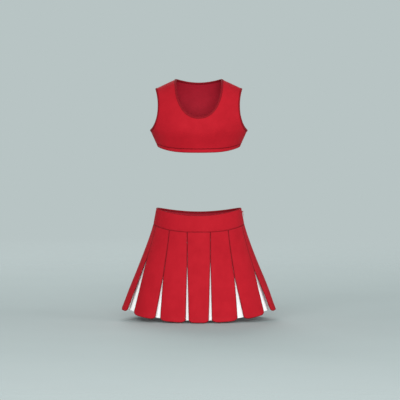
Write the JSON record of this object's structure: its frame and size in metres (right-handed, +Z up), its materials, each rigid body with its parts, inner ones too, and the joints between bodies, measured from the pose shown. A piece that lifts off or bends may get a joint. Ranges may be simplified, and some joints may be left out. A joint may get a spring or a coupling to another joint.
{
  "type": "cheer uniform",
  "caption": "Sleeveless cropped top with a scoop neck, and a flared skirt on a shaped yoke whose box pleats open on contrasting inserts, both in their worn shape.",
  "frame": {"origin": "middle of the waist opening, level with the yoke's top edge at the side seams", "axes": "+Z up towards the wearer's head, -Y the way the wearer faces, +X to the wearer's left"},
  "size_m": [0.5074, 0.3374, 0.7928],
  "materials": {
    "red_cloth": "smooth matte knit",
    "red_lining": "plain lining knit",
    "white_cloth": "smooth matte knit",
    "stiffener": "fused interfacing",
    "elastic": "woven elastic",
    "zip_plastic": "moulded coil",
    "zip_metal": "plated"
  },
  "bodies": {
    "yoke": {"yoke_front": "red_cloth", "yoke_back": "red_cloth", "yoke_interfacing_front": "stiffener", "yoke_interfacing_back": "stiffener", "yoke_lining_front": "red_lining", "yoke_lining_back": "red_lining", "zip_tape_front": "red_lining", "zip_tape_back": "red_lining", "zip_teeth_front": "zip_plastic", "zip_teeth_back": "zip_plastic", "zip_bottom_stop": "zip_metal", "waist_hook": "zip_metal", "waist_bar": "zip_metal", "care_label": "white_cloth"},
    "cropped_top": {"bodice_front": "red_cloth", "bodice_back": "red_cloth", "bodice_lining_front": "red_lining", "bodice_lining_back": "red_lining", "neck_binding": "red_cloth", "armhole_binding_left": "red_cloth", "armhole_binding_right": "red_cloth", "hem_band_front": "red_cloth", "hem_band_back": "red_cloth", "hem_elastic": "elastic", "shoulder_tape_left": "white_cloth", "shoulder_tape_right": "white_cloth"},
    "zip_slider": {"zip_slider": "zip_metal"},
    "zip_pull_tab": {"zip_pull_tab": "zip_metal"},
    "panel_front_center": {"panel_front_center": "red_cloth"},
    "panel_front_left_inner": {"panel_front_left_inner": "red_cloth"},
    "panel_front_left_outer": {"panel_front_left_outer": "red_cloth"},
    "panel_side_left_front": {"panel_side_left_front": "red_cloth"},
    "panel_side_left_back": {"panel_side_left_back": "red_cloth"},
    "panel_back_left_outer": {"panel_back_left_outer": "red_cloth"},
    "panel_back_left_inner": {"panel_back_left_inner": "red_cloth"},
    "panel_back_center": {"panel_back_center": "red_cloth"},
    "panel_back_right_inner": {"panel_back_right_inner": "red_cloth"},
    "panel_back_right_outer": {"panel_back_right_outer": "red_cloth"},
    "panel_side_right_back": {"panel_side_right_back": "red_cloth"},
    "panel_side_right_front": {"panel_side_right_front": "red_cloth"},
    "panel_front_right_outer": {"panel_front_right_outer": "red_cloth"},
    "panel_front_right_inner": {"panel_front_right_inner": "red_cloth"},
    "insert_front_left_inner": {"insert_front_left_inner": "white_cloth"},
    "insert_front_left_middle": {"insert_front_left_middle": "white_cloth"},
    "insert_front_left_outer": {"insert_front_left_outer": "white_cloth"},
    "insert_side_left": {"insert_side_left": "white_cloth"},
    "insert_back_left_outer": {"insert_back_left_outer": "white_cloth"},
    "insert_back_left_middle": {"insert_back_left_middle": "white_cloth"},
    "insert_back_left_inner": {"insert_back_left_inner": "white_cloth"},
    "insert_back_right_inner": {"insert_back_right_inner": "white_cloth"},
    "insert_back_right_middle": {"insert_back_right_middle": "white_cloth"},
    "insert_back_right_outer": {"insert_back_right_outer": "white_cloth"},
    "insert_side_right": {"insert_side_right": "white_cloth"},
    "insert_front_right_outer": {"insert_front_right_outer": "white_cloth"},
    "insert_front_right_middle": {"insert_front_right_middle": "white_cloth"},
    "insert_front_right_inner": {"insert_front_right_inner": "white_cloth"}
  },
  "joints": [
    {"name": "skirt_flare", "type": "hinge", "parent": "yoke", "child": "panel_front_center", "pos_m": [0, -0.11, -0.0719], "axis": [-1, 0, 0], "range_deg": [0, 25]},
    {"name": "flare_panel_front_left_inner", "type": "hinge", "parent": "yoke", "child": "panel_front_left_inner", "pos_m": [0.06824, -0.09796, -0.06958], "axis": [-0.9324, -0.3537, -0.0741], "range_deg": [0, 25]},
    {"name": "flare_panel_front_left_outer", "type": "hinge", "parent": "yoke", "child": "panel_front_left_outer", "pos_m": [0.12279, -0.0632, -0.06184], "axis": [-0.6736, -0.7215, -0.1602], "range_deg": [0, 25]},
    {"name": "flare_panel_side_left_front", "type": "hinge", "parent": "yoke", "child": "panel_side_left_front", "pos_m": [0.14794, -0.01816, -0.05501], "axis": [-0.2195, -0.9725, -0.0774], "range_deg": [0, 25]},
    {"name": "flare_panel_side_left_back", "type": "hinge", "parent": "yoke", "child": "panel_side_left_back", "pos_m": [0.14794, 0.01816, -0.05501], "axis": [0.2195, -0.9725, 0.0774], "range_deg": [0, 25]},
    {"name": "flare_panel_back_left_outer", "type": "hinge", "parent": "yoke", "child": "panel_back_left_outer", "pos_m": [0.12279, 0.0632, -0.06184], "axis": [0.6736, -0.7215, 0.1602], "range_deg": [0, 25]},
    {"name": "flare_panel_back_left_inner", "type": "hinge", "parent": "yoke", "child": "panel_back_left_inner", "pos_m": [0.06824, 0.09796, -0.06958], "axis": [0.9324, -0.3537, 0.0741], "range_deg": [0, 25]},
    {"name": "flare_panel_back_center", "type": "hinge", "parent": "yoke", "child": "panel_back_center", "pos_m": [0, 0.11, -0.0719], "axis": [1, 0, 0], "range_deg": [0, 25]},
    {"name": "flare_panel_back_right_inner", "type": "hinge", "parent": "yoke", "child": "panel_back_right_inner", "pos_m": [-0.06824, 0.09796, -0.06958], "axis": [0.9324, 0.3537, -0.0741], "range_deg": [0, 25]},
    {"name": "flare_panel_back_right_outer", "type": "hinge", "parent": "yoke", "child": "panel_back_right_outer", "pos_m": [-0.12279, 0.0632, -0.06184], "axis": [0.6736, 0.7215, -0.1602], "range_deg": [0, 25]},
    {"name": "flare_panel_side_right_back", "type": "hinge", "parent": "yoke", "child": "panel_side_right_back", "pos_m": [-0.14794, 0.01816, -0.05501], "axis": [0.2195, 0.9725, -0.0774], "range_deg": [0, 25]},
    {"name": "flare_panel_side_right_front", "type": "hinge", "parent": "yoke", "child": "panel_side_right_front", "pos_m": [-0.14794, -0.01816, -0.05501], "axis": [-0.2195, 0.9725, 0.0774], "range_deg": [0, 25]},
    {"name": "flare_panel_front_right_outer", "type": "hinge", "parent": "yoke", "child": "panel_front_right_outer", "pos_m": [-0.12279, -0.0632, -0.06184], "axis": [-0.6736, 0.7215, 0.1602], "range_deg": [0, 25]},
    {"name": "flare_panel_front_right_inner", "type": "hinge", "parent": "yoke", "child": "panel_front_right_inner", "pos_m": [-0.06824, -0.09796, -0.06958], "axis": [-0.9324, 0.3537, 0.0741], "range_deg": [0, 25]},
    {"name": "flare_insert_front_left_inner", "type": "hinge", "parent": "yoke", "child": "insert_front_left_inner", "pos_m": [0.03729, -0.10268, -0.07251], "axis": [-0.9817, -0.1889, -0.0246], "range_deg": [0, 25]},
    {"name": "flare_insert_front_left_middle", "type": "hinge", "parent": "yoke", "child": "insert_front_left_middle", "pos_m": [0.09429, -0.08111, -0.06785], "axis": [-0.8442, -0.5194, -0.1326], "range_deg": [0, 25]},
    {"name": "flare_insert_front_left_outer", "type": "hinge", "parent": "yoke", "child": "insert_front_left_outer", "pos_m": [0.13848, -0.034, -0.05732], "axis": [-0.4168, -0.8976, -0.1434], "range_deg": [0, 25]},
    {"name": "flare_insert_side_left", "type": "hinge", "parent": "yoke", "child": "insert_side_left", "pos_m": [0.1462, 0, -0.05463], "axis": [0, -1, 0], "range_deg": [0, 25]},
    {"name": "flare_insert_back_left_outer", "type": "hinge", "parent": "yoke", "child": "insert_back_left_outer", "pos_m": [0.13848, 0.034, -0.05732], "axis": [0.4168, -0.8976, 0.1434], "range_deg": [0, 25]},
    {"name": "flare_insert_back_left_middle", "type": "hinge", "parent": "yoke", "child": "insert_back_left_middle", "pos_m": [0.09429, 0.08111, -0.06785], "axis": [0.8442, -0.5194, 0.1326], "range_deg": [0, 25]},
    {"name": "flare_insert_back_left_inner", "type": "hinge", "parent": "yoke", "child": "insert_back_left_inner", "pos_m": [0.03729, 0.10268, -0.07251], "axis": [0.9817, -0.1889, 0.0246], "range_deg": [0, 25]},
    {"name": "flare_insert_back_right_inner", "type": "hinge", "parent": "yoke", "child": "insert_back_right_inner", "pos_m": [-0.03729, 0.10268, -0.07251], "axis": [0.9817, 0.1889, -0.0246], "range_deg": [0, 25]},
    {"name": "flare_insert_back_right_middle", "type": "hinge", "parent": "yoke", "child": "insert_back_right_middle", "pos_m": [-0.09429, 0.08111, -0.06785], "axis": [0.8442, 0.5194, -0.1326], "range_deg": [0, 25]},
    {"name": "flare_insert_back_right_outer", "type": "hinge", "parent": "yoke", "child": "insert_back_right_outer", "pos_m": [-0.13848, 0.034, -0.05732], "axis": [0.4168, 0.8976, -0.1434], "range_deg": [0, 25]},
    {"name": "flare_insert_side_right", "type": "hinge", "parent": "yoke", "child": "insert_side_right", "pos_m": [-0.1462, 0, -0.05463], "axis": [0, 1, 0], "range_deg": [0, 25]},
    {"name": "flare_insert_front_right_outer", "type": "hinge", "parent": "yoke", "child": "insert_front_right_outer", "pos_m": [-0.13848, -0.034, -0.05732], "axis": [-0.4168, 0.8976, 0.1434], "range_deg": [0, 25]},
    {"name": "flare_insert_front_right_middle", "type": "hinge", "parent": "yoke", "child": "insert_front_right_middle", "pos_m": [-0.09429, -0.08111, -0.06785], "axis": [-0.8442, 0.5194, 0.1326], "range_deg": [0, 25]},
    {"name": "flare_insert_front_right_inner", "type": "hinge", "parent": "yoke", "child": "insert_front_right_inner", "pos_m": [-0.03729, -0.10268, -0.07251], "axis": [-0.9817, 0.1889, 0.0246], "range_deg": [0, 25]},
    {"name": "zip_slide", "type": "slide", "parent": "yoke", "child": "zip_slider", "axis": [0.1834, 0, -0.983], "range_m": [0, 0.029]},
    {"name": "zip_pull", "type": "hinge", "parent": "zip_slider", "child": "zip_pull_tab", "pos_m": [0.14514, 0, -0.01201], "axis": [0, -1, 0], "range_deg": [0, 165]},
    {"name": "top_lift", "type": "slide", "parent": "yoke", "child": "cropped_top", "axis": [0, 0, 1], "range_m": [0, 0.6]}
  ],
  "couplings": [
    {"joint": "flare_panel_front_left_inner", "follows": "skirt_flare", "ratio": 1},
    {"joint": "flare_panel_front_left_outer", "follows": "skirt_flare", "ratio": 1},
    {"joint": "flare_panel_side_left_front", "follows": "skirt_flare", "ratio": 1},
    {"joint": "flare_panel_side_left_back", "follows": "skirt_flare", "ratio": 1},
    {"joint": "flare_panel_back_left_outer", "follows": "skirt_flare", "ratio": 1},
    {"joint": "flare_panel_back_left_inner", "follows": "skirt_flare", "ratio": 1},
    {"joint": "flare_panel_back_center", "follows": "skirt_flare", "ratio": 1},
    {"joint": "flare_panel_back_right_inner", "follows": "skirt_flare", "ratio": 1},
    {"joint": "flare_panel_back_right_outer", "follows": "skirt_flare", "ratio": 1},
    {"joint": "flare_panel_side_right_back", "follows": "skirt_flare", "ratio": 1},
    {"joint": "flare_panel_side_right_front", "follows": "skirt_flare", "ratio": 1},
    {"joint": "flare_panel_front_right_outer", "follows": "skirt_flare", "ratio": 1},
    {"joint": "flare_panel_front_right_inner", "follows": "skirt_flare", "ratio": 1},
    {"joint": "flare_insert_front_left_inner", "follows": "skirt_flare", "ratio": 1},
    {"joint": "flare_insert_front_left_middle", "follows": "skirt_flare", "ratio": 1},
    {"joint": "flare_insert_front_left_outer", "follows": "skirt_flare", "ratio": 1},
    {"joint": "flare_insert_side_left", "follows": "skirt_flare", "ratio": 1},
    {"joint": "flare_insert_back_left_outer", "follows": "skirt_flare", "ratio": 1},
    {"joint": "flare_insert_back_left_middle", "follows": "skirt_flare", "ratio": 1},
    {"joint": "flare_insert_back_left_inner", "follows": "skirt_flare", "ratio": 1},
    {"joint": "flare_insert_back_right_inner", "follows": "skirt_flare", "ratio": 1},
    {"joint": "flare_insert_back_right_middle", "follows": "skirt_flare", "ratio": 1},
    {"joint": "flare_insert_back_right_outer", "follows": "skirt_flare", "ratio": 1},
    {"joint": "flare_insert_side_right", "follows": "skirt_flare", "ratio": 1},
    {"joint": "flare_insert_front_right_outer", "follows": "skirt_flare", "ratio": 1},
    {"joint": "flare_insert_front_right_middle", "follows": "skirt_flare", "ratio": 1},
    {"joint": "flare_insert_front_right_inner", "follows": "skirt_flare", "ratio": 1}
  ]
}
